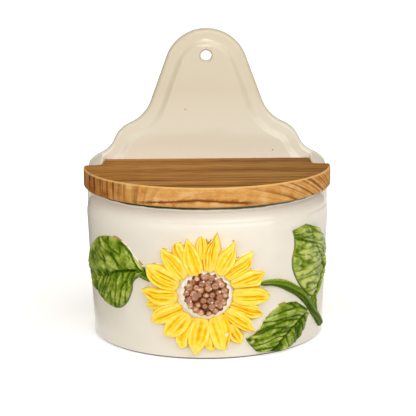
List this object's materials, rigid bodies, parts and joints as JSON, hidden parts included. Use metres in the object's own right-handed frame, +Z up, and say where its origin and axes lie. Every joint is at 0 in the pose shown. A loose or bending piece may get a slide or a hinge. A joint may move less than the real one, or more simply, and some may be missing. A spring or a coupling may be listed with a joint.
{
  "type": "wall-mounted salt box",
  "caption": "Half-round stoneware salt box with a shaped back plate to hang it by, a hinged wooden lid and a sunflower spray in relief on its front.",
  "frame": {"origin": "under the middle of the whole box, on the surface that its base stands on", "axes": "+X to the right seen from the front, +Y towards the wall, +Z up"},
  "size_m": [0.148, 0.1043, 0.18],
  "materials": {
    "cream_glaze": "gloss",
    "lid_wood": "satin",
    "pin_steel": "satin",
    "seed_glaze": "gloss",
    "petal_glaze": "gloss",
    "leaf_glaze": "gloss"
  },
  "bodies": {
    "pot": {"pot_body": "cream_glaze", "seed_head": "seed_glaze", "petal_01": "petal_glaze", "petal_02": "petal_glaze", "petal_03": "petal_glaze", "petal_04": "petal_glaze", "petal_05": "petal_glaze", "petal_06": "petal_glaze", "petal_07": "petal_glaze", "petal_08": "petal_glaze", "petal_09": "petal_glaze", "petal_10": "petal_glaze", "petal_11": "petal_glaze", "petal_12": "petal_glaze", "petal_13": "petal_glaze", "petal_14": "petal_glaze", "petal_15": "petal_glaze", "petal_16": "petal_glaze", "back_petal_1": "petal_glaze", "back_petal_2": "petal_glaze", "back_petal_3": "petal_glaze", "back_petal_4": "petal_glaze", "back_petal_5": "petal_glaze", "leaf_left": "leaf_glaze", "leaf_upper_right": "leaf_glaze", "leaf_lower_right": "leaf_glaze", "stalk_left": "leaf_glaze", "stem_right": "leaf_glaze", "stalk_upper_right": "leaf_glaze"},
    "lid": {"lid_board": "lid_wood", "hinge_pin_left": "pin_steel", "hinge_pin_right": "pin_steel"}
  },
  "joints": [
    {"name": "lid_hinge", "type": "hinge", "parent": "pot", "child": "lid", "pos_m": [0, 0.0359, 0.0953], "axis": [-1, 0, 0], "range_deg": [0, 91]}
  ]
}
